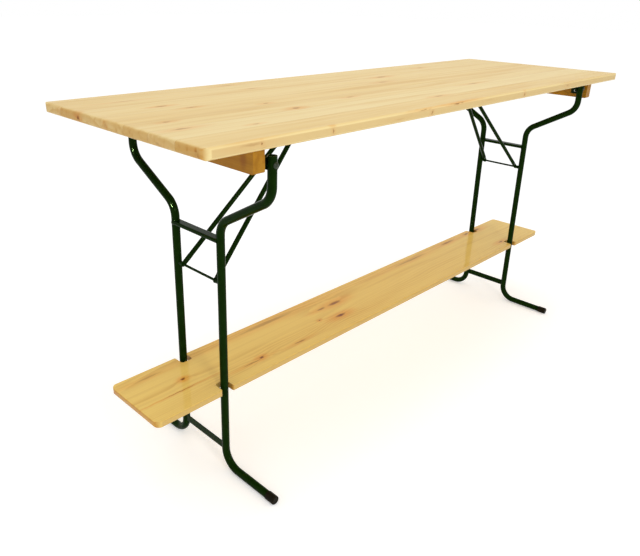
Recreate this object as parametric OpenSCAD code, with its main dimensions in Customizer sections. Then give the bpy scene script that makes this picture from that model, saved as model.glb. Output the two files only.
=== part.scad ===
// Folding bar table: a pine top on two bent-tube leg frames, with a loose shelf between them.
// X runs along the table, Y across it and Z up from the floor.

/* [Tabletop] */
// Height of the table from the floor to the top face
table_h = 1112; // [1000:1:1200]
// Length of the tabletop
top_l = 2200; // [2000:1:2500]
// Width of the tabletop
top_w = 743; // [700:1:860]
// Thickness of the tabletop
top_t = 28; // [24:1:34]
// Radius of the tabletop's corners seen from above
top_corner_r = 24; // [12:1:60]
// Rounding of the tabletop's long and short edges
top_edge_r = 9; // [2:1:11]
// Number of boards glued edge to edge
board_count = 7; // [7:1:7]

/* [Battens] */
// Distance from an end of the top to the batten there
batten_inset = 162; // [100:1:170]
// Width of a batten along the table
batten_w = 36; // [28:1:60]
// Height of a batten under the top
batten_h = 65; // [56:1:70]
// Length of a batten across the table
batten_l = 660; // [650:1:720]
// Rounding of a batten's lower corners
batten_r = 5; // [1:1:10]

/* [Leg frames] */
// Distance from a batten's inner face to its frame's pivot
pivot_gap = 36; // [34:1:52]
// Drop of the left pivot below the top face
left_drop = 82; // [80:1:86]
// Drop of the right pivot below the top face
right_drop = 50; // [49:1:52]
// Outward lean of a frame in degrees
splay = 1.09; // [0.5:0.01:2]
// Outer diameter of the frame tube
tube_d = 25; // [22:0.5:25]
// Wall of the frame tube
tube_wall = 2; // [1.5:0.1:3]
// Half distance between the two legs of a frame
leg_y = 107; // [100:1:120]
// Half distance between the pivoted tube ends
pivot_y = 315.6; // [300:0.1:320]
// Distance from the pivot down to the upper knee
upper_knee = 89; // [80:1:100]
// Distance from the pivot down to the lower knee
lower_knee = 204; // [195:1:220]
// Radius of the tube bends on the centre line
bend_r = 60; // [45:1:70]
// Height of the left tube ends above their pivot
left_stub = 22; // [18:1:24]
// Height of the right tube ends above their pivot
right_stub = 12; // [10:1:13]
// Half width of a foot over its caps
foot_y = 342; // [300:1:380]
// Height of the foot tube's axis above the floor
foot_h = 13.5; // [13:0.1:13.8]

/* [Cross bars] */
// Drop of the upper bar below the top face
upper_bar_drop = 335; // [325:1:345]
// Width of the upper bar along the table
upper_bar_w = 32; // [24:1:33]
// Thickness of the upper bar
upper_bar_t = 12; // [8:1:16]
// Height of a flat bar on edge
flat_bar_h = 25; // [18:1:30]
// Thickness of a flat bar
flat_bar_t = 3; // [2:0.5:5]
// Distance of the flat bars outward from the tube's axis
flat_bar_out = 5; // [4:0.5:8]
// Height of the lower bar's middle above the floor
lower_bar_up = 83; // [77:1:97]

/* [Braces] */
// Distance from the pivot down to the brace rod
rod_drop = 382; // [378:1:386]
// Diameter of the brace rod and of the catch pin
rod_d = 8; // [6:0.5:8]
// Outer diameter of the brace tube
brace_d = 15; // [12:0.5:15]
// Wall of the brace tube
brace_wall = 1.5; // [1:0.1:2.5]
// Half distance between the brace eyes on the rod
brace_low_y = 79; // [60:1:84]
// Half distance between the brace eyes on the catch pin
brace_top_y = 15; // [14:0.5:20]
// Radius of a flattened brace eye
eye_r = 8; // [6:0.5:8]
// Thickness of a flattened brace eye
eye_t = 4; // [3:0.5:5]
// Length of a flattened brace end
eye_l = 34; // [28:1:45]

/* [Shelf] */
// Reach of the shelf past each end of the top
shelf_over = 31; // [-40:1:60]
// Width of the shelf
shelf_w = 257; // [250:1:300]
// Thickness of the shelf
shelf_t = 20; // [16:1:26]
// Drop of the shelf's upper face below the top face
shelf_drop = 804; // [790:1:820]
// Radius of the shelf's corners seen from above
shelf_corner_r = 28; // [10:1:50]
// Rounding of the shelf's edges
shelf_edge_r = 5; // [1:0.5:7]
// Width of a leg notch
notch_w = 40; // [36:1:60]
// Distance from the shelf's middle line to a notch's inner end
notch_y = 84; // [75:1:90]
// Rounding of a notch's mouth
notch_mouth_r = 10; // [2:1:14]
// Thickness of the strip between a bar and the shelf
pad_t = 2; // [1:0.5:4]

/* [Hidden] */
$fn = 48;
sides = [-1, 1];
// Clearances
fit = 0.08;
seat = 0.05;
side_gap = 0.3;
// Glue line between two boards of the top
glue = 0.02;
// Lap of a tube's straights into its bends, and how much thicker a bend is
lap = 0.8;
swell = 0.15;
// Tube radii
tube_r = tube_d / 2;
bore_r = tube_r - tube_wall;
rod_r = rod_d / 2;
// Hinge bracket
bracket_t = 4;
bracket_l = 38;
bracket_h = 46;
ear_r = 16;
ear_root_h = 34;
ear_out_y = pivot_y - tube_r - side_gap;
bolt_r = 4;
bolt_head_r = 8;
bolt_head_h = 4.5;
nut_r = 7.5;
nut_h = 6;
screw_r = 2.5;
screw_head_r = 5;
screw_head_h = 2;
bracket_screw_l = 26;
// Batten screws
batten_screw_bite = 18;
// Catch
clip_w = 20;
clip_t = 2;
hook_end = 70;
lip_h = 9;
lip_flare = 1.5;
clip_rise = 12;
clip_base_l = 62;
clip_base_w = 24;
clip_screw_x = 23;
clip_screw_bite = 6.5;
block_l = 80;
block_w = 60;
pin_head_r = 6;
pin_head_h = 2;
pin_play = 1;
// Sleeve on the brace rod
spacer_r = 7;
spacer_y = brace_low_y + 3.3;
// Foot cap
cap_wall = 1.5;
cap_l = 34;
cap_plug_l = 20;
cap_dome = 6;
notch_in_r = 8;
pad_w = 2;
pad_h = 12;
// Boards of the top
board_w = top_w / board_count;
batten_x = top_l / 2 - batten_inset - batten_w;
pivot_x = batten_x - pivot_gap;
shelf_l = top_l + 2 * shelf_over;
under = table_h - top_t;
shelf_top = table_h - shelf_drop;

function drop(side) = side < 0 ? left_drop : right_drop;
function stub(side) = side < 0 ? left_stub : right_stub;
function unit(v) = v / norm(v);
function turn(u, v) = acos(min(1, max(-1, u * v)));
function cross_z(u, v) = u[0] * v[1] - u[1] * v[0];
// Length of a frame from its pivot to the foot's axis
function frame_l(side) = (table_h - drop(side) - foot_h) / cos(splay);
// Distance down a frame for a drop below the top face
function down(side, z) = (z - drop(side)) / cos(splay);
// Positions of the rod's axis and of the catch's axis
function rod_x(side) = side * (pivot_x + rod_drop * sin(splay));
function rod_z(side) = table_h - drop(side) - rod_drop * cos(splay);
clip_x = pivot_x - rod_drop;
function brace_len(side) = norm([rod_x(side) - side * clip_x, rod_z(side) - (table_h - drop(side))]);
function brace_rise(side) = atan2(table_h - drop(side) - rod_z(side), abs(rod_x(side)) - clip_x);
// Places of the screws
batten_screw_y = [-270, -110, 110, 270];
function bracket_screw_z(side) = [-24, -44];

module rounded_rect(w, h, r) {
    square([w - 2 * r, h], center = true);
    square([w, h - 2 * r], center = true);
    for (x = sides, y = sides)
        translate([x * (w / 2 - r), y * (h / 2 - r)]) circle(r);
}

// A slab with rounded edges, its upper face at z = 0
module rounded_slab(l, w, t, corner_r, edge_r) {
    translate([0, 0, -t / 2]) intersection() {
        linear_extrude(t, center = true) rounded_rect(l, w, corner_r);
        rotate([90, 0, 0]) linear_extrude(w, center = true) rounded_rect(l, t, edge_r);
        rotate([90, 0, 90]) linear_extrude(l, center = true) rounded_rect(w, t, edge_r);
    }
}

module rod_y(y0, y1, r) {
    translate([0, y0, 0]) rotate([-90, 0, 0]) cylinder(h = y1 - y0, r = r);
}

// Puts its children in a frame's plane, with the origin on the pivot's axis
module in_frame(side) {
    translate([side * pivot_x, 0, table_h - drop(side)]) rotate([0, -side * splay, 0]) children();
}

// Puts its children on a brace, from the rod at the origin towards +X
module in_brace(side) {
    translate([rod_x(side), 0, rod_z(side)]) rotate([0, 0, side < 0 ? 0 : 180])
        rotate([0, -brace_rise(side), 0]) children();
}

// A straight round bar in the YZ plane from a to b
module run(a, b, r) {
    d = b - a;
    translate([0, a[0], a[1]]) rotate([atan2(-d[0], d[1]), 0, 0]) cylinder(h = norm(d), r = r);
}

// A bend in the YZ plane round centre c, from point p through the angle a, turning from Y to Z
module bend(c, p, a, bend_radius, r) {
    e = p - c;
    translate([0, c[0], c[1]]) rotate([atan2(e[1], e[0]) + 90, 0, 0]) rotate([0, 90, 0])
        rotate_extrude(angle = a) translate([bend_radius, 0]) circle(r);
}

// A bent round bar through the corner points pts; its bends are a hair thicker than its straights,
// which run into them by a small lap
module bent_bar(pts, bend_radius, r) {
    n = len(pts);
    dirs = [for (i = [0:n - 2]) unit(pts[i + 1] - pts[i])];
    trims = [for (i = [0:n - 1])
        i == 0 || i == n - 1 ? 0 : bend_radius * tan(turn(dirs[i - 1], dirs[i]) / 2)];
    for (i = [0:n - 2]) {
        lap_a = i == 0 ? 0 : lap;
        lap_b = i == n - 2 ? 0 : lap;
        run(pts[i] + dirs[i] * (trims[i] - lap_a), pts[i + 1] - dirs[i] * (trims[i + 1] - lap_b), r - swell);
    }
    for (i = [1:n - 2]) {
        a = turn(dirs[i - 1], dirs[i]);
        c = pts[i] + unit(dirs[i] - dirs[i - 1]) * bend_radius / cos(a / 2);
        start = cross_z(dirs[i - 1], dirs[i]) > 0 ? pts[i] - dirs[i - 1] * trims[i]
            : pts[i] + dirs[i] * trims[i];
        bend(c, start, a, bend_radius, r);
    }
}

// Screw with a pan head on z = 0, its shank running down
module screw(l) {
    translate([0, 0, -l]) cylinder(h = l, r = screw_r);
    cylinder(h = screw_head_h, r1 = screw_head_r, r2 = screw_head_r - 1);
}

module screw_hole(l) {
    translate([0, 0, -l - seat]) cylinder(h = l + 2 * seat, r = screw_r + seat);
}

// Batten screws point up, with their heads under the batten
module at_batten_screws() {
    for (s = sides, y = batten_screw_y)
        translate([s * (batten_x + batten_w / 2), y, under - batten_h]) rotate([180, 0, 0]) children();
}

// Bracket screws point into the batten, with their heads on the bracket's flange
module at_bracket_screws() {
    for (s = sides, y = sides, z = bracket_screw_z(s))
        translate([s * (batten_x - bracket_t), y * (ear_out_y - bracket_l / 2 - bracket_t / 2), under + z + 6])
            rotate([0, -s * 90, 0]) children();
}

module at_clip_screws() {
    for (s = sides, x = sides)
        translate([s * clip_x + x * clip_screw_x, 0, table_h - drop(s) + clip_rise - clip_t])
            rotate([180, 0, 0]) children();
}

module top_board(i) {
    front = i == 1 ? -top_w / 2 - 1 : -top_w / 2 + (i - 1) * board_w + glue / 2;
    back = i == board_count ? top_w / 2 + 1 : -top_w / 2 + i * board_w - glue / 2;
    color("burlywood") difference() {
        intersection() {
            translate([0, 0, table_h]) rounded_slab(top_l, top_w, top_t, top_corner_r, top_edge_r);
            translate([-top_l / 2 - 1, front, under - 1]) cube([top_l + 2, back - front, top_t + 2]);
        }
        at_batten_screws() screw_hole(batten_h + batten_screw_bite);
    }
}

module batten(side) {
    color("peru") difference() {
        translate([side * (batten_x + batten_w / 2), 0, under - batten_h / 2]) rotate([90, 0, 90])
            linear_extrude(batten_w, center = true) {
                translate([0, batten_r / 2]) square([batten_l, batten_h - batten_r], center = true);
                translate([0, -batten_h / 2 + batten_r / 2])
                    square([batten_l - 2 * batten_r, batten_r], center = true);
                for (y = sides) translate([y * (batten_l / 2 - batten_r), -batten_h / 2 + batten_r])
                    circle(batten_r);
            }
        at_batten_screws() screw_hole(batten_h);
        at_bracket_screws() screw_hole(bracket_screw_l);
    }
}

module batten_screws() { color("silver") at_batten_screws() screw(batten_h + batten_screw_bite); }

module bracket_screws() { color("silver") at_bracket_screws() screw(bracket_screw_l); }

module clip_screws() { color("silver") at_clip_screws() screw(clip_t + clip_screw_bite); }

// An ear beside the tube and a flange on the batten's inner face
module bracket(side, y) {
    pz = table_h - drop(side);
    gap_x = batten_x - pivot_x;
    color("dimgray") difference() {
        union() {
            translate([side * pivot_x, y * (ear_out_y - bracket_t / 2), pz]) rotate([90, 0, 0])
                linear_extrude(bracket_t, center = true) {
                    circle(ear_r);
                    polygon([[0, ear_r], [0, -ear_r], [side * gap_x, -ear_r + 10], [side * gap_x, ear_r]]);
                }
            translate([side * (batten_x - bracket_t / 2), y * (ear_out_y - bracket_l / 2),
                       under - 4 - bracket_h / 2])
                cube([bracket_t, bracket_l, bracket_h], center = true);
        }
        translate([side * pivot_x, 0, pz]) rod_y(-pivot_y - 20, pivot_y + 20, bolt_r + seat);
        at_bracket_screws() screw_hole(bracket_screw_l);
    }
}

// Two bolts of one frame, with domed heads outside the tubes
module pivot_bolts(side) {
    color("silver") for (y = sides) translate([side * pivot_x, 0, table_h - drop(side)])
        rotate([0, 0, y < 0 ? 180 : 0]) {
            rod_y(ear_out_y - bracket_t - nut_h - 1, pivot_y + tube_r + side_gap, bolt_r);
            translate([0, pivot_y + tube_r + side_gap, 0]) rotate([-90, 0, 0]) intersection() {
                cylinder(h = bolt_head_h, r = bolt_head_r);
                translate([0, 0, bolt_head_h - 10]) sphere(10, $fn = 64);
            }
        }
}

module pivot_nuts() {
    color("silver") for (s = sides, y = sides) translate([s * pivot_x, 0, table_h - drop(s)])
        rotate([0, 0, y < 0 ? 180 : 0]) translate([0, ear_out_y - bracket_t - nut_h, 0])
            rotate([-90, 0, 0]) difference() {
                cylinder(h = nut_h, r = nut_r, $fn = 6);
                translate([0, 0, -1]) cylinder(h = nut_h + 2, r = bolt_r + seat);
            }
}

// Packing block between the top and a catch
module clip_block(side) {
    h = drop(side) - clip_rise - top_t;
    color("peru") difference() {
        translate([side * clip_x - block_l / 2, -block_w / 2, under - h]) cube([block_l, block_w, h]);
        at_clip_screws() screw_hole(clip_t + clip_screw_bite);
    }
}

// Spring catch: a base plate and a hook over the pin, open inward and down
module clip(side) {
    ri = rod_r + side_gap;
    ro = ri + clip_t;
    color("dimgray") translate([side * clip_x, 0, table_h - drop(side)]) mirror([side > 0 ? 1 : 0, 0, 0])
        difference() {
            union() {
                rotate([90, 0, 0]) linear_extrude(clip_w, center = true) {
                    difference() {
                        circle(ro);
                        circle(ri);
                        polygon([[0, 0], 3 * ro * [cos(hook_end), sin(hook_end)], 3 * ro * [1, 0],
                            3 * ro * [1, -1], 3 * ro * [-1, -1], 3 * ro * [-1, 0]]);
                    }
                    polygon([[-ri, 0.1], [-ro, 0.1], [-ro - lip_flare, -lip_h], [-ri - lip_flare, -lip_h]]);
                    translate([-clip_t, ri + clip_t / 2])
                        square([2 * clip_t, clip_rise - clip_t - ri]);
                }
                translate([-clip_base_l / 2, -clip_base_w / 2, clip_rise - clip_t])
                    cube([clip_base_l, clip_base_w, clip_t]);
            }
            for (x = sides) translate([x * clip_screw_x, 0, 0])
                cylinder(h = 2 * clip_rise, r = screw_r + seat);
        }
}

// Corner points of a leg in its frame's plane, its two ends run on by more
function leg_points(side, more) = [[pivot_y, stub(side) + more], [pivot_y, -upper_knee],
    [leg_y, -lower_knee], [leg_y, -frame_l(side)], [foot_y - cap_wall + more, -frame_l(side)]];

// One leg: pivoted end, slope, leg and foot in one bent tube
module leg(side, y) {
    color("darkgreen") in_frame(side) rotate([0, 0, y < 0 ? 180 : 0]) difference() {
        bent_bar(leg_points(side, 0), bend_r, tube_r);
        bent_bar(leg_points(side, 1), bend_r, bore_r);
        rod_y(pivot_y - 2 * tube_r, pivot_y + 2 * tube_r, bolt_r + fit);
    }
}

// Cuts the two legs' round out of a bar's ends
module between_legs(side) {
    difference() {
        children();
        for (y = sides) translate([0, y * leg_y, -frame_l(side)])
            cylinder(h = frame_l(side), r = tube_r + seat);
    }
}

module upper_bar(side) {
    color("darkgreen") in_frame(side) between_legs(side)
        translate([0, 0, -down(side, upper_bar_drop)]) rotate([90, 0, 0])
            linear_extrude(2 * leg_y, center = true)
                rounded_rect(upper_bar_w, upper_bar_t, upper_bar_t / 2 - 0.5);
}

module flat_bar(side, z) {
    color("darkgreen") in_frame(side) between_legs(side)
        translate([side * flat_bar_out, 0, -down(side, z)])
            cube([flat_bar_t, 2 * leg_y, flat_bar_h], center = true);
}

module shelf_bar(side) { flat_bar(side, shelf_drop + shelf_t + pad_t + flat_bar_h / 2); }

module lower_bar(side) { flat_bar(side, table_h - lower_bar_up); }

module brace_rod(side) {
    color("darkgreen") in_frame(side) between_legs(side)
        translate([0, 0, -rod_drop]) rod_y(-leg_y, leg_y, rod_r);
}

// Sleeves on the brace rod, between the legs and the brace eyes
module rod_spacers(side) {
    color("darkgreen") in_frame(side) between_legs(side) translate([0, 0, -rod_drop])
        for (y = sides) difference() {
            rod_y(y < 0 ? -leg_y : spacer_y, y < 0 ? -spacer_y : leg_y, spacer_r);
            rod_y(-2 * leg_y, 2 * leg_y, rod_r + seat);
        }
}

// Caps on both foot ends, flat where they stand on the floor
module foot_caps(side) {
    color("saddlebrown") difference() {
        in_frame(side) for (y = sides) translate([0, 0, -frame_l(side)]) rotate([0, 0, y < 0 ? 180 : 0])
            translate([0, foot_y, 0]) rotate([90, 0, 0]) difference() {
                rotate_extrude() {
                    translate([0, 0]) square([tube_r + cap_wall - cap_dome / 2, cap_l]);
                    translate([0, cap_dome / 2]) square([tube_r + cap_wall, cap_l - cap_dome / 2]);
                    translate([tube_r + cap_wall - cap_dome / 2, cap_dome / 2]) circle(cap_dome / 2);
                }
                translate([0, 0, cap_wall]) cylinder(h = cap_l, r = tube_r + seat);
            }
        translate([-2 * pivot_x, -top_w, -50]) cube([4 * pivot_x, 2 * top_w, 50]);
    }
}

// A brace's flattened end: the eye at the origin, spreading to the round tube towards +X
module flat_end() {
    rod_y(-eye_t / 2, eye_t / 2, eye_r);
    translate([0, -eye_t / 2, -eye_r]) cube([eye_l / 2, eye_t, 2 * eye_r]);
    intersection() {
        linear_extrude(2 * brace_d, center = true)
            polygon([[eye_l * 0.4, -eye_t / 2], [eye_l, -brace_d / 2 - swell], [eye_l + 2, -brace_d / 2 - swell],
                [eye_l + 2, brace_d / 2 + swell], [eye_l, brace_d / 2 + swell], [eye_l * 0.4, eye_t / 2]]);
        rotate([0, 90, 0]) cylinder(h = 2 * eye_l, r = brace_d / 2 + 2 * swell);
    }
}

// A brace tube, leaning in from the rod to the catch pin, with a flattened eye at each end
module brace_tube(side, y) {
    l = brace_len(side);
    lean = atan2(brace_low_y - brace_top_y, l);
    long = l / cos(lean);
    lap = 3;
    color("darkgreen") in_brace(side) difference() {
        translate([0, y * brace_low_y, 0]) rotate([0, 0, -y * lean]) {
            translate([eye_l - lap, 0, 0]) rotate([0, 90, 0]) difference() {
                cylinder(h = long - 2 * eye_l + 2 * lap, r = brace_d / 2);
                translate([0, 0, 2 * lap])
                    cylinder(h = long - 2 * eye_l - 2 * lap, r = brace_d / 2 - brace_wall);
            }
            flat_end();
            translate([long, 0, 0]) rotate([0, 0, 180]) flat_end();
        }
        translate([0, y * brace_low_y, 0]) rod_y(-eye_t, eye_t, rod_r + fit);
        translate([l, y * brace_top_y, 0]) rod_y(-eye_t, eye_t, rod_r + seat);
    }
}

// The pin that snaps into the catch, headed at both ends
module catch_pin(side) {
    out = brace_top_y + eye_t / 2 + pin_play;
    color("silver") in_brace(side) translate([brace_len(side), 0, 0]) {
        rod_y(-out, out, rod_r);
        for (y = sides) rod_y(y < 0 ? -out - pin_head_h : out, y < 0 ? -out : out + pin_head_h, pin_head_r);
    }
}

// One notch of the shelf, open at y = shelf_w / 2
module notch() {
    mouth = shelf_w / 2;
    translate([-notch_w / 2, notch_y + notch_in_r]) square([notch_w, mouth - notch_y]);
    translate([-notch_w / 2 + notch_in_r, notch_y]) square([notch_w - 2 * notch_in_r, notch_in_r + 1]);
    for (x = sides) {
        translate([x * (notch_w / 2 - notch_in_r), notch_y + notch_in_r]) circle(notch_in_r);
        translate([x * (notch_w / 2 + notch_mouth_r), mouth - notch_mouth_r]) difference() {
            translate([x < 0 ? -1 : -notch_mouth_r, 0]) square([notch_mouth_r + 1, notch_mouth_r + 1]);
            circle(notch_mouth_r);
        }
    }
}

module shelf_board() {
    color("burlywood") difference() {
        translate([0, 0, shelf_top]) rounded_slab(shelf_l, shelf_w, shelf_t, shelf_corner_r, shelf_edge_r);
        for (s = sides, y = sides)
            translate([s * (pivot_x + (shelf_drop + shelf_t / 2 - drop(s)) * tan(splay)), 0, shelf_top - shelf_t - 1])
                mirror([0, y < 0 ? 1 : 0, 0]) linear_extrude(shelf_t + 2) notch();
    }
}

// Strip pushed over a shelf bar's upper edge, under the shelf
module bar_strip(side) {
    inner = leg_y - tube_r - 4;
    x = side * (pivot_x + (shelf_drop + shelf_t - drop(side)) * tan(splay) + flat_bar_out);
    z = shelf_top - shelf_t;
    color("black") difference() {
        translate([x - flat_bar_t / 2 - pad_w - 0.3, -inner, z - pad_h]) cube([flat_bar_t + 2 * pad_w + 0.6, 2 * inner, pad_h]);
        in_frame(side) translate([side * flat_bar_out, 0, -down(side, shelf_drop + shelf_t + pad_t) - flat_bar_h])
            translate([-flat_bar_t / 2 - seat, -leg_y, 0]) cube([flat_bar_t + 2 * seat, 2 * leg_y, flat_bar_h + seat]);
    }
}

for (i = [1:board_count]) top_board(i);
batten(-1);  // batten_left
batten(1);  // batten_right
batten_screws();
bracket(-1, -1);  // bracket_left_front
bracket(-1, 1);  // bracket_left_back
bracket(1, -1);  // bracket_right_front
bracket(1, 1);  // bracket_right_back
bracket_screws();
pivot_bolts(-1);  // pivot_bolts_left
pivot_bolts(1);  // pivot_bolts_right
pivot_nuts();
clip_block(-1);  // clip_block_left
clip_block(1);  // clip_block_right
clip(-1);  // clip_left
clip(1);  // clip_right
clip_screws();
leg(-1, -1);  // leg_left_front
leg(-1, 1);  // leg_left_back
upper_bar(-1);  // upper_bar_left
shelf_bar(-1);  // shelf_bar_left
lower_bar(-1);  // lower_bar_left
brace_rod(-1);  // brace_rod_left
rod_spacers(-1);  // rod_spacers_left
foot_caps(-1);  // foot_caps_left
leg(1, -1);  // leg_right_front
leg(1, 1);  // leg_right_back
upper_bar(1);  // upper_bar_right
shelf_bar(1);  // shelf_bar_right
lower_bar(1);  // lower_bar_right
brace_rod(1);  // brace_rod_right
rod_spacers(1);  // rod_spacers_right
foot_caps(1);  // foot_caps_right
brace_tube(-1, -1);  // brace_tube_left_front
brace_tube(-1, 1);  // brace_tube_left_back
catch_pin(-1);  // catch_pin_left
brace_tube(1, 1);  // brace_tube_right_front
brace_tube(1, -1);  // brace_tube_right_back
catch_pin(1);  // catch_pin_right
shelf_board();
bar_strip(-1);  // bar_strip_left
bar_strip(1);  // bar_strip_right
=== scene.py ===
import math
import bmesh
import bpy
from mathutils import Matrix, Vector


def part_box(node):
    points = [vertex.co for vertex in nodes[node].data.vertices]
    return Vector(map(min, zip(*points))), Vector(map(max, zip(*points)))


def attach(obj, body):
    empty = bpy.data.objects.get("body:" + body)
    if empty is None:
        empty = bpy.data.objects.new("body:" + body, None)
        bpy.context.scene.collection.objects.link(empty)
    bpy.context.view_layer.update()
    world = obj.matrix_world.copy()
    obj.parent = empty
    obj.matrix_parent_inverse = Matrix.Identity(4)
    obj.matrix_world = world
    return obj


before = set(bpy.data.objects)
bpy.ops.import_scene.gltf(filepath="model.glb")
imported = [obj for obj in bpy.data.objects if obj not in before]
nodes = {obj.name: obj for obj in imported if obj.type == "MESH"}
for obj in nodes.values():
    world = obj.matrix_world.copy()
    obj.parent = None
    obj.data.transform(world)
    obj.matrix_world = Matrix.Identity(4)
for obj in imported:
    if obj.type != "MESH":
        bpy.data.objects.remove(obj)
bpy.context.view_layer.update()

# The camera
# A wide lens near the left front corner, a little above the tabletop, as the photo was taken.
CAMERA_AT = Vector((-1.84518, -1.40111, 1.40774))
CAMERA_AIM = Vector((-0.13168, 0.23756, 0.34066))
CAMERA_ROLL = math.radians(1.3841)
camera = bpy.data.objects.new("camera", bpy.data.cameras.new("camera"))
bpy.context.scene.collection.objects.link(camera)
bpy.context.scene.camera = camera
camera.data.lens = 35.1799
camera.data.sensor_width = 36
camera.data.shift_x = 0.00754
camera.data.shift_y = -0.00862
camera.data.clip_start = 0.05
camera.location = CAMERA_AT
aim = (CAMERA_AIM - CAMERA_AT).to_track_quat("-Z", "Y").to_matrix()
camera.rotation_euler = (aim @ Matrix.Rotation(CAMERA_ROLL, 3, "Z")).to_euler()
bpy.context.scene.view_settings.view_transform = "Standard"

# The light and the floor
# A white room lights the table from all round, with a big soft lamp over it, one from the front
# left and a small one that only glints on the tube bends. The camera sees walls and floor as white.
WALLS_SEEN = 1.0
WALLS_LIGHT = 0.80
GLINT_LAMP = "light_window"
GLINT_SPREAD = math.radians(15)
FULL_SPREAD = math.radians(180)
FLOOR_SIZE = 60
FLOOR_DROP = 0.0005
FLOOR_GLOW = 0.30


def seen_or_mirrored(tree):
    """1 for the rays that show the background: straight, mirrored or through glass."""
    path = tree.nodes.new("ShaderNodeLightPath")
    shown = path.outputs["Is Camera Ray"]
    for ray in ("Is Glossy Ray", "Is Transmission Ray"):
        either = tree.nodes.new("ShaderNodeMath")
        either.operation = "MAXIMUM"
        tree.links.new(shown, either.inputs[0])
        tree.links.new(path.outputs[ray], either.inputs[1])
        shown = either.outputs[0]
    return shown


world = bpy.data.worlds.new("room")
bpy.context.scene.world = world
world.use_nodes = True
room = world.node_tree
room.nodes.clear()
out = room.nodes.new("ShaderNodeOutputWorld")
pick = room.nodes.new("ShaderNodeMixShader")
room.links.new(seen_or_mirrored(room), pick.inputs[0])
for socket, strength in ((1, WALLS_LIGHT), (2, WALLS_SEEN)):
    walls = room.nodes.new("ShaderNodeBackground")
    walls.inputs["Color"].default_value = (1.0, 1.0, 1.0, 1)
    walls.inputs["Strength"].default_value = strength
    room.links.new(walls.outputs[0], pick.inputs[socket])
room.links.new(pick.outputs[0], out.inputs["Surface"])

for name, at, target, size, power in (
        ("light_over", (0.2, 0.2, 3.6), (0.0, 0.0, 0.9), 3.0, 17),
        ("light_front", (-1.6, -3.6, 2.2), (0.0, 0.0, 0.6), 0.8, 36),
        (GLINT_LAMP, (-3.4, -0.6, 1.9), (-0.88, 0.17, 0.91), 0.5, 8)):
    lamp = bpy.data.objects.new(name, bpy.data.lights.new(name, "AREA"))
    lamp.data.size = size
    lamp.data.energy = power
    lamp.location = at
    lamp.rotation_euler = (Vector(target) - Vector(at)).to_track_quat("-Z", "Y").to_euler()
    bpy.context.scene.collection.objects.link(lamp)
    lamp.visible_diffuse = name != GLINT_LAMP
    lamp.data.spread = GLINT_SPREAD if name == GLINT_LAMP else FULL_SPREAD

bpy.ops.mesh.primitive_plane_add(size=FLOOR_SIZE, location=(0, 0, -FLOOR_DROP))
floor = bpy.context.object
floor.name = "floor"
pale = bpy.data.materials.new("pale_floor")
pale.use_nodes = True
shader = pale.node_tree.nodes["Principled BSDF"]
shader.inputs["Base Color"].default_value = (0.93, 0.93, 0.93, 1)
shader.inputs["Roughness"].default_value = 0.9
shader.inputs["Specular IOR Level"].default_value = 0.0
glow = pale.node_tree.nodes.new("ShaderNodeEmission")
glow.inputs["Strength"].default_value = FLOOR_GLOW
none = pale.node_tree.nodes.new("ShaderNodeEmission")
none.inputs["Strength"].default_value = 0.0
pick = pale.node_tree.nodes.new("ShaderNodeMixShader")
both = pale.node_tree.nodes.new("ShaderNodeAddShader")
links = pale.node_tree.links
links.new(seen_or_mirrored(pale.node_tree), pick.inputs[0])
links.new(none.outputs[0], pick.inputs[1])
links.new(glow.outputs[0], pick.inputs[2])
links.new(shader.outputs[0], both.inputs[0])
links.new(pick.outputs[0], both.inputs[1])
links.new(both.outputs[0], pale.node_tree.nodes["Material Output"].inputs["Surface"])
floor.data.materials.append(pale)

# The tabletop
# Seven pine boards glued edge to edge, planed, rounded all round and lacquered clear. The grain
# runs along X and bends round the knots, the sawn ends show their rings.


class Finish:
    """A procedural finish built node by node, as the wood, enamel and plastics here all are."""

    def __init__(self, name):
        self.material = bpy.data.materials.new(name)
        self.material.use_nodes = True
        self.tree = self.material.node_tree
        self.shader = self.tree.nodes["Principled BSDF"]
        coordinates = self.node("TexCoord")
        self.place = coordinates.outputs["Object"]
        self.facing = coordinates.outputs["Normal"]

    def node(self, kind, **settings):
        made = self.tree.nodes.new("ShaderNode" + kind)
        for key, value in settings.items():
            setattr(made, key, value)
        return made

    def put(self, made, socket, value):
        if hasattr(value, "is_linked"):
            self.tree.links.new(value, made.inputs[socket])
        else:
            made.inputs[socket].default_value = value

    def math(self, operation, a, b=0.0):
        made = self.node("Math", operation=operation)
        self.put(made, 0, a)
        self.put(made, 1, b)
        return made.outputs[0]

    def vector(self, operation, a, b=(0, 0, 0)):
        made = self.node("VectorMath", operation=operation)
        self.put(made, 0, a)
        self.put(made, 1, b)
        return made.outputs["Value" if operation == "LENGTH" else "Vector"]

    def split(self, value):
        made = self.node("SeparateXYZ")
        self.put(made, 0, value)
        return made.outputs

    def join(self, *values):
        made = self.node("CombineXYZ")
        for i, value in enumerate(values):
            self.put(made, i, value)
        return made.outputs[0]

    def noise(self, at, scale=1.0, detail=4.0, roughness=0.55, output="Fac"):
        made = self.node("TexNoise")
        for socket, value in (("Vector", at), ("Scale", scale), ("Detail", detail), ("Roughness", roughness)):
            self.put(made, socket, value)
        return made.outputs[output]

    def step(self, value, low, high, to_low=0.0, to_high=1.0):
        made = self.node("MapRange", interpolation_type="SMOOTHSTEP")
        for i, number in enumerate((value, low, high, to_low, to_high)):
            self.put(made, i, number)
        return made.outputs["Result"]

    def blend(self, factor, a, b, kind="MIX"):
        made = self.node("Mix", data_type="RGBA", blend_type=kind)
        self.put(made, "Factor", factor)
        self.put(made, 6, a)
        self.put(made, 7, b)
        return made.outputs[2]

    def bump(self, height, strength, distance):
        made = self.node("Bump")
        self.put(made, "Strength", strength)
        self.put(made, "Distance", distance)
        self.put(made, "Height", height)
        self.tree.links.new(made.outputs[0], self.shader.inputs["Normal"])

    def dress(self, *names):
        for name in names:
            nodes[name].data.materials.clear()
            nodes[name].data.materials.append(self.material)


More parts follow.
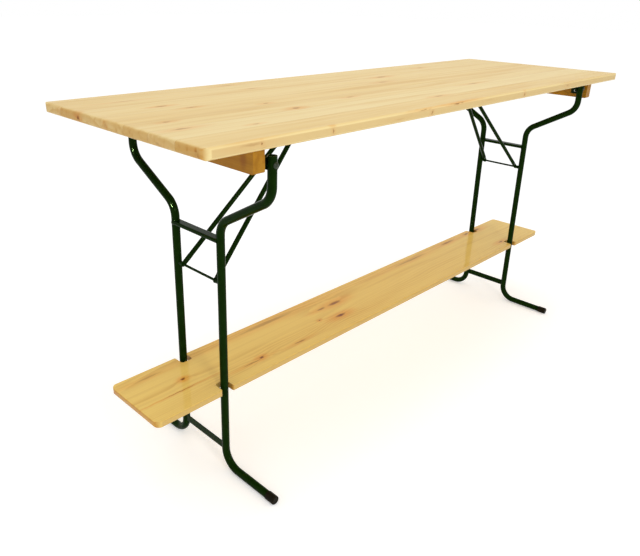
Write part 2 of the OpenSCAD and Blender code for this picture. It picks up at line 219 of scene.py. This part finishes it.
KNOT_CORE = (0.22, 0.068, 0.010, 1)
KNOT_HALO = (0.94, 0.64, 0.42, 1)
GLUE_LINE = (0.50, 0.29, 0.11, 1)
GLUE_DARKNESS = 0.42
RING_WIDTH = 0.0072
RING_FLATNESS = 0.35
RING_WANDER = 0.12
KNOT_WOBBLE = (0.022, 0.008, 0.008)
KNOT_PUSH_REACH = 4.5
STRAY_CELLS = 4.3
STRAY_SIZE = 0.045
MIDDLE = (0.5, 0.5, 0.5)
GRAIN_DEPTH = 0.0006


def pine(name, board_w, half_w, early, late, warm, sawn, planed, knots, stray, seed):
    """Lacquered pine with its grain along X, in boards board_w wide that begin at y = -half_w.

    A knot is (x, y, z, half length, half width, half height, darkness); stray is the share of the
    cells that hold one more, and seed gives each timber its own grain.
    """
    w = Finish(name)
    x, y, z = w.split(w.place)
    across = w.math("DIVIDE", w.math("ADD", y, half_w), board_w)
    chance = w.node("TexWhiteNoise", noise_dimensions="1D")
    w.put(chance, "W", w.math("ADD", w.math("FLOOR", across), seed))
    rx, ry, rz = w.split(w.vector("SUBTRACT", chance.outputs["Color"], MIDDLE))

    # The knots, which push the grain aside, and a few stray ones, which don't
    wobble = w.noise(w.vector("MULTIPLY", w.place, (35.0, 80.0, 60.0)), detail=2.0, output="Color")
    wobble = w.vector("MULTIPLY", w.vector("SUBTRACT", wobble, MIDDLE), KNOT_WOBBLE)
    loose = w.vector("ADD", w.place, wobble)
    core, halo, push = 0.0, 0.0, 0.0
    for kx, ky, kz, long, wide, tall, dark in knots:
        away = w.vector("SUBTRACT", loose, (kx, ky, kz))
        reach = w.vector("LENGTH", w.vector("MULTIPLY", away, (1 / long, 1 / wide, 1 / tall)))
        core = w.math("MAXIMUM", core, w.step(reach, 0.15, 0.7, dark, 0.0))
        halo = w.math("MAXIMUM", halo, w.step(reach, 0.4, 2.4, 0.85 * dark, 0.0))
        side = w.math("SIGN", w.math("SUBTRACT", y, ky))
        push = w.math("ADD", push, w.math("MULTIPLY", side, w.step(reach, 0.0, KNOT_PUSH_REACH, wide, 0.0)))
    cells = w.node("TexVoronoi", feature="F1")
    w.put(cells, "Scale", STRAY_CELLS)
    flat = w.vector("MULTIPLY", loose, (0.8, 1.5, 0))
    w.put(cells, "Vector", w.vector("ADD", flat, (seed * 3.1, seed * 1.7, 0)))
    rare = w.split(cells.outputs["Color"])[0]
    size = w.math("MAXIMUM", w.math("MULTIPLY", w.step(rare, 1 - stray, 1.0), STRAY_SIZE), 0.0001)
    near = w.math("DIVIDE", cells.outputs["Distance"], size)
    core = w.math("MAXIMUM", core, w.step(near, 0.3, 0.9, 0.55, 0.0))
    halo = w.math("MAXIMUM", halo, w.step(near, 0.6, 2.2, 0.4, 0.0))

    # Year rings round a pith far under each board, wandering along its length
    slow = w.join(w.math("ADD", w.math("MULTIPLY", x, 0.9), w.math("MULTIPLY", rx, 37.0)),
                  w.math("ADD", w.math("MULTIPLY", y, 4.0), w.math("MULTIPLY", ry, 29.0)),
                  w.math("MULTIPLY", z, 4.0))
    drift = w.math("MULTIPLY", w.math("SUBTRACT", w.noise(slow, detail=2.5), 0.5), RING_WANDER)
    local = w.math("MULTIPLY", w.math("SUBTRACT", w.math("FRACT", across), 0.5), board_w)
    ring_y = w.math("ADD", w.math("ADD", local, w.math("MULTIPLY", ry, 0.12)), w.math("ADD", drift, push))
    ring_z = w.math("ADD", w.math("SUBTRACT", z, half_w), w.math("ADD", w.math("MULTIPLY", rz, 0.05), 0.03))
    turns = w.vector("LENGTH", w.join(ring_y, w.math("MULTIPLY", ring_z, RING_FLATNESS), 0.0))
    phase = w.math("FRACT", w.math("DIVIDE", turns, RING_WIDTH))
    line = w.math("MULTIPLY", w.step(phase, 0.1, 0.85), w.step(phase, 0.88, 1.0, 1.0, 0.0))

    # Fibres, streaks and clouds of colour along the boards
    fibre = w.noise(w.vector("MULTIPLY", w.place, (5.0, 190.0, 190.0)), detail=5.0, roughness=0.6)
    own = w.vector("ADD", w.place, chance.outputs["Color"])
    streak = w.noise(w.vector("MULTIPLY", own, (1.3, 48.0, 48.0)), detail=3.0)
    drawn_out = w.vector("MULTIPLY", w.place, (1.6, 13.0, 13.0))
    cloud = w.noise(w.vector("ADD", drawn_out, chance.outputs["Color"]), detail=3.0)
    colour = w.blend(w.math("MULTIPLY", line, w.step(cloud, 0.3, 0.75, 0.06, 0.42)), early, late)
    colour = w.blend(w.step(fibre, 0.4, 0.8, 0.0, 0.14), colour, late)
    colour = w.blend(w.step(streak, 0.5, 0.8, 0.0, 0.30), colour, late)
    colour = w.blend(w.math("MULTIPLY", w.math("ADD", rx, 0.5), 0.55), colour, warm, "MULTIPLY")
    colour = w.blend(w.step(cloud, 0.45, 0.8, 0.0, 0.45), colour, warm, "MULTIPLY")
    colour = w.blend(halo, colour, KNOT_HALO, "MULTIPLY")
    colour = w.blend(core, colour, KNOT_CORE)

    # The sawn ends are darker and show their rings, the planed sides are yellower, and the glue
    # joints are hair lines
    end = w.step(w.math("ABSOLUTE", w.split(w.facing)[0]), 0.4, 0.9)
    shade = w.math("ADD", 0.1, w.math("MULTIPLY", w.math("ADD", rz, 0.5), 0.9))
    colour = w.blend(w.math("MULTIPLY", end, shade), colour, sawn, "MULTIPLY")
    bands = w.noise(w.vector("MULTIPLY", w.place, (20.0, 70.0, 45.0)), detail=3.0)
    shade = w.step(bands, 0.5, 0.75, 0.0, 0.75)
    colour = w.blend(w.math("MULTIPLY", end, shade), colour, sawn, "MULTIPLY")
    colour = w.blend(w.math("MULTIPLY", w.math("MULTIPLY", end, line), 0.6), colour, late)
    side_face = w.step(w.math("ABSOLUTE", w.split(w.facing)[1]), 0.4, 0.9)
    yellow = w.math("SUBTRACT", 0.45, w.math("MULTIPLY", core, 0.4))
    colour = w.blend(w.math("MULTIPLY", side_face, yellow), colour, planed)
    seam = w.math("ABSOLUTE", w.math("SUBTRACT", w.math("FRACT", w.math("ADD", across, 0.5)), 0.5))
    colour = w.blend(w.step(seam, 0.003, 0.013, GLUE_DARKNESS, 0.0), colour, GLUE_LINE)
    w.tree.links.new(colour, w.shader.inputs["Base Color"])
    w.put(w.shader, "Roughness", w.step(fibre, 0.3, 0.8, 0.36, 0.50))
    w.shader.inputs["Specular IOR Level"].default_value = 0.05
    w.shader.inputs["Coat Weight"].default_value = 0.02
    w.shader.inputs["Coat Roughness"].default_value = 0.14
    grain = w.math("ADD", w.math("MULTIPLY", fibre, 0.5), w.math("MULTIPLY", line, 0.2))
    w.bump(w.math("SUBTRACT", grain, core), 0.10, GRAIN_DEPTH)
    return w


top_low, top_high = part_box("top_board_1")
TOP_Z = top_high.z
TOP_FRONT = top_low.y
TOP_BOARD_W = top_high.y - top_low.y
HALF_TOP = -TOP_FRONT
TOP_END = top_low.x
KNOT_DEPTH = 0.05
TOP_KNOTS = [(x, y, TOP_Z, long, wide, KNOT_DEPTH, dark) for x, y, long, wide, dark in (
    (-1.02, -0.176, 0.05, 0.011, 0.5), (-0.889, 0.109, 0.034, 0.009, 0.7),
    (-1.0, -0.087, 0.024, 0.008, 0.55), (-0.834, 0.045, 0.034, 0.008, 0.6),
    (-0.618, -0.139, 0.028, 0.013, 0.75), (-0.63, -0.029, 0.022, 0.008, 0.55),
    (-0.85, -0.239, 0.022, 0.007, 0.45), (-0.924, 0.241, 0.08, 0.006, 0.4),
    (-0.499, 0.321, 0.06, 0.008, 0.45), (-0.473, 0.218, 0.03, 0.008, 0.4),
    (0.124, 0.157, 0.05, 0.014, 0.6), (0.015, 0.061, 0.05, 0.012, 0.4),
    (-0.104, -0.261, 0.045, 0.009, 0.5), (0.257, -0.165, 0.07, 0.012, 0.35),
    (-0.348, -0.1, 0.032, 0.008, 0.5), (0.52, 0.26, 0.04, 0.014, 0.4))]
TOP_KNOTS += [
    (-0.944, TOP_FRONT, TOP_Z - 0.012, 0.007, 0.012, 0.007, 1.0),
    (-0.975, TOP_FRONT, TOP_Z - 0.01, 0.06, 0.01, 0.007, 0.45),
    (-0.716, TOP_FRONT, TOP_Z - 0.014, 0.007, 0.009, 0.012, 0.85),
    (-0.3, TOP_FRONT, TOP_Z - 0.016, 0.008, 0.009, 0.012, 0.85),
    (-0.335, TOP_FRONT, TOP_Z - 0.004, 0.06, 0.008, 0.0025, 0.8),
    (-0.16, TOP_FRONT, TOP_Z - 0.003, 0.09, 0.01, 0.003, 1.0),
    (-0.45, TOP_FRONT, TOP_Z - 0.016, 0.05, 0.006, 0.004, 0.3),
    (0.02, TOP_FRONT, TOP_Z - 0.01, 0.045, 0.006, 0.004, 0.25),
    (0.26, TOP_FRONT, TOP_Z - 0.014, 0.008, 0.008, 0.012, 0.8),
    (0.6, TOP_FRONT, TOP_Z - 0.012, 0.02, 0.008, 0.007, 0.5),
    (TOP_END, 0.168, TOP_Z - 0.016, 0.012, 0.014, 0.013, 0.95),
    (TOP_END, 0.03, TOP_Z - 0.016, 0.008, 0.009, 0.012, 0.45),
    (TOP_END, -0.345, TOP_Z - 0.016, 0.004, 0.022, 0.02, 0.28),
    (TOP_END, -0.2, TOP_Z - 0.02, 0.004, 0.03, 0.008, 0.3),
    (TOP_END, 0.27, TOP_Z - 0.018, 0.004, 0.012, 0.016, 0.35)]
top_pine = pine("top_pine", TOP_BOARD_W, HALF_TOP,
                early=(0.83, 0.658, 0.325, 1), late=(0.66, 0.42, 0.14, 1), warm=(0.93, 0.82, 0.62, 1),
                sawn=(0.78, 0.60, 0.36, 1), planed=(0.90, 0.78, 0.40, 1),
                knots=TOP_KNOTS, stray=0.10, seed=3.0)
top_pine.dress(*[f"top_board_{i}" for i in range(1, 8)])

# The shelf
# One glued pine board with a notch for each leg, lacquered more than the top, lying loose on the
# frames' shelf bars.
shelf_low, shelf_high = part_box("shelf_board")
SHELF_Z = shelf_high.z
SHELF_KNOTS = [(x, y, SHELF_Z, long, wide, KNOT_DEPTH, dark) for x, y, long, wide, dark in (
    (-0.953, 0.007, 0.016, 0.01, 1.0), (-0.997, -0.042, 0.11, 0.0028, 0.8),
    (-1.02, 0.088, 0.09, 0.008, 0.35), (-0.694, -0.067, 0.02, 0.011, 1.0),
    (-0.735, -0.072, 0.07, 0.006, 0.55), (-0.374, -0.021, 0.01, 0.007, 0.9),
    (-0.231, 0.036, 0.06, 0.018, 0.85), (-0.305, 0.037, 0.045, 0.01, 0.7),
    (-0.287, -0.047, 0.045, 0.015, 1.0), (-0.531, -0.081, 0.05, 0.007, 0.6),
    (-0.523, 0.098, 0.26, 0.018, 0.42), (0.911, 0.098, 0.055, 0.018, 0.85),
    (0.815, 0.1, 0.045, 0.015, 0.7), (0.85, -0.075, 0.04, 0.011, 0.8),
    (0.647, 0.098, 0.1, 0.014, 0.7), (0.33, 0.09, 0.22, 0.014, 0.42))]
# The shelf's pine colours are brighter and yellower than the top's. This is painted light: it stands in for
# the warm bounce light under the top.
shelf_pine = pine("shelf_pine", shelf_high.y - shelf_low.y, shelf_high.y,
                  early=(0.93, 0.685, 0.195, 1), late=(0.64, 0.36, 0.07, 1), warm=(0.92, 0.78, 0.55, 1),
                  sawn=(0.66, 0.44, 0.24, 1), planed=(0.66, 0.47, 0.14, 1),
                  knots=SHELF_KNOTS, stray=0.06, seed=8.0)
shelf_pine.shader.inputs["Coat Weight"].default_value = 0.4
shelf_pine.shader.inputs["Coat Roughness"].default_value = 0.05
shelf_pine.dress("shelf_board")

# The battens and catch blocks
# Orange-brown lacquered softwood with its grain along Y, screwed and glued under the top.
BATTEN_EARLY = (0.43, 0.205, 0.013, 1)
BATTEN_LATE = (0.29, 0.115, 0.005, 1)
BATTEN_KNOT_IN = 0.035
batten_low, batten_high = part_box("batten_left")
batten = Finish("batten_wood")
bands = batten.noise(batten.vector("MULTIPLY", batten.place, (60.0, 2.4, 55.0)), detail=3.0)
fibre = batten.noise(batten.vector("MULTIPLY", batten.place, (260.0, 7.0, 260.0)), detail=5.0, roughness=0.6)
spots = batten.noise(batten.vector("MULTIPLY", batten.place, (30.0, 16.0, 38.0)), detail=2.0)
colour = batten.blend(batten.step(bands, 0.35, 0.7, 0.0, 0.6), BATTEN_EARLY, BATTEN_LATE)
colour = batten.blend(batten.step(fibre, 0.35, 0.8, 0.0, 0.35), colour, BATTEN_LATE)
colour = batten.blend(batten.step(spots, 0.62, 0.75, 0.0, 0.7), colour, KNOT_CORE)
knot_at = (batten_low.x, batten_low.y + BATTEN_KNOT_IN, (batten_low.z + batten_high.z) / 2)
away = batten.vector("SUBTRACT", batten.place, knot_at)
knot = batten.vector("LENGTH", batten.vector("MULTIPLY", away, (9.0, 60.0, 28.0)))
colour = batten.blend(batten.step(knot, 0.2, 1.1, 0.55, 0.0), colour, KNOT_CORE)
batten.tree.links.new(colour, batten.shader.inputs["Base Color"])
batten.put(batten.shader, "Roughness", batten.step(fibre, 0.3, 0.8, 0.36, 0.5))
batten.shader.inputs["Specular IOR Level"].default_value = 0.1
batten.shader.inputs["Coat Weight"].default_value = 0.05
batten.shader.inputs["Coat Roughness"].default_value = 0.2
batten.bump(fibre, 0.15, GRAIN_DEPTH)
batten.dress("batten_left", "batten_right", "clip_block_left", "clip_block_right")

# The leg frames and braces
# Bent steel tube, flat bars and rods, welded and dipped in dark green gloss enamel.
MOTTLE_SCALE = 55.0
FLECK_SCALE = 900.0
SKIN_DEPTH = 0.0004


def coat(name, colour, roughness, gloss, metallic=0.0, flecks=0.0, unevenness=0.1):
    """Enamel, plating or moulded plastic: a faint mottle, fine flecks and a slightly uneven skin."""
    f = Finish(name)
    mottle = f.noise(f.place, MOTTLE_SCALE)
    fine = f.noise(f.place, FLECK_SCALE, detail=2.0)
    tone = f.blend(f.step(mottle, 0.35, 0.7), colour, [0.72 * c for c in colour[:3]] + [1])
    bright = [min(1.0, 1.6 * c + 0.01) for c in colour[:3]] + [1]
    tone = f.blend(f.step(fine, 0.58, 0.78, 0.0, flecks), tone, bright)
    f.tree.links.new(tone, f.shader.inputs["Base Color"])
    f.put(f.shader, "Roughness", f.step(mottle, 0.3, 0.7, roughness - 0.04, roughness + 0.06))
    f.shader.inputs["Metallic"].default_value = metallic
    f.shader.inputs["Specular IOR Level"].default_value = gloss
    skin = f.math("ADD", f.math("MULTIPLY", mottle, 0.8), f.math("MULTIPLY", fine, 0.2))
    f.bump(skin, unevenness, SKIN_DEPTH)
    return f


enamel = coat("green_enamel", (0.005, 0.020, 0.0015, 1), 0.12, 0.04, flecks=0.03)
enamel.shader.inputs["Specular Tint"].default_value = (0.60, 0.95, 0.35, 1)
enamel.dress(*[name for name in nodes if name.startswith(
    ("leg_", "upper_bar", "shelf_bar", "lower_bar", "brace_rod", "brace_tube", "rod_spacers"))])

# The weld beads
# A low rippled bead of weld metal round each bar's ends, where they meet the legs. It follows the
# round of the tube, and is enamelled with the frame.
LEG_R = 0.0125
LEG_Y = 0.107
FLAT_BAR_OUT = 0.005
BEAD_OUT = 0.0014
BEAD_DEEP = 0.0075
BEAD_PAST_LEG = 0.001
BEAD_ROUND = 0.0026
BEAD_LONG_EDGE = 0.004
BEAD_WIDEST = 1.8 * LEG_R
BEAD_WRAP = 0.95 * LEG_R
RIPPLE = 0.00012
RIPPLES_ACROSS = 2100
RIPPLES_UP = 1900


def weld_beads(side, outward):
    """The beads of one frame; outward is the side of the legs on which its flat bars lie."""
    bead = bmesh.new()
    legs = []
    for bar, offset in (("upper_bar", 0.0), ("shelf_bar", FLAT_BAR_OUT), ("lower_bar", FLAT_BAR_OUT)):
        low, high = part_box(f"{bar}_{side}")
        middle, section = (low + high) / 2, high - low
        legs.append((middle.z, middle.x - outward * offset))
        wide = min(section.x + 2 * BEAD_OUT, BEAD_WIDEST)
        for end in (-1, 1):
            collar = bmesh.ops.create_cube(bead, size=1.0)["verts"]
            bmesh.ops.scale(bead, verts=collar, vec=(wide, BEAD_DEEP, section.z + 2 * BEAD_OUT))
            collar_y = end * (LEG_Y - LEG_R + BEAD_PAST_LEG)
            bmesh.ops.translate(bead, verts=collar, vec=(middle.x, collar_y, middle.z))
    bmesh.ops.bevel(bead, geom=bead.edges[:], offset=BEAD_ROUND, offset_type="OFFSET", affect="EDGES",
                    segments=4, profile=0.5, material=-1)
    long_edges = [edge for edge in bead.edges if edge.calc_length() > BEAD_LONG_EDGE]
    bmesh.ops.subdivide_edges(bead, edges=long_edges, cuts=6, use_grid_fill=True)
    bead.normal_update()
    for vertex in bead.verts:
        ripple = math.sin(RIPPLES_ACROSS * vertex.co.x) + math.sin(RIPPLES_UP * vertex.co.z)
        vertex.co += vertex.normal * RIPPLE * ripple
        leg_x = min(legs, key=lambda leg: abs(leg[0] - vertex.co.z))[1]
        across = min(abs(vertex.co.x - leg_x), BEAD_WRAP)
        vertex.co.y += math.copysign(LEG_R - math.sqrt(LEG_R ** 2 - across ** 2), vertex.co.y)
    mesh = bpy.data.meshes.new(f"weld_beads_{side}")
    bead.to_mesh(mesh)
    bead.free()
    mesh.shade_smooth()
    piece = bpy.data.objects.new(f"weld_beads_{side}", mesh)
    bpy.context.scene.collection.objects.link(piece)
    mesh.materials.append(enamel.material)
    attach(piece, f"frame_{side}")


weld_beads("left", -1)
weld_beads("right", 1)

# The fittings
# Brackets and catches in dark green painted steel, bolts dulled by paint, screws and pins in zinc.
fitting = coat("bracket_steel", (0.008, 0.021, 0.004, 1), 0.28, 0.06, flecks=0.12, unevenness=0.15)
fitting.dress(*[name for name in nodes if name.startswith(
    ("bracket_left", "bracket_right", "clip_left", "clip_right"))])
zinc = coat("zinc_steel", (0.36, 0.37, 0.36, 1), 0.34, 0.5, metallic=1.0, unevenness=0.08)
zinc.dress(*[name for name in nodes if name.endswith("_screws") or name.startswith("catch_pin")])
dulled = coat("painted_bolt", (0.026, 0.038, 0.020, 1), 0.34, 0.20, flecks=0.15, unevenness=0.2)
dulled.dress(*[name for name in nodes if name.startswith("pivot_")])

# The caps and strips
# Dark brown caps on the feet and black strips over the shelf bars, both moulded plastic.
cap = coat("cap_plastic", (0.011, 0.0085, 0.0035, 1), 0.42, 0.05, flecks=0.2, unevenness=0.2)
cap.dress("foot_caps_left", "foot_caps_right")
strip = coat("strip_plastic", (0.018, 0.018, 0.018, 1), 0.5, 0.2, unevenness=0.2)
strip.dress("bar_strip_left", "bar_strip_right")
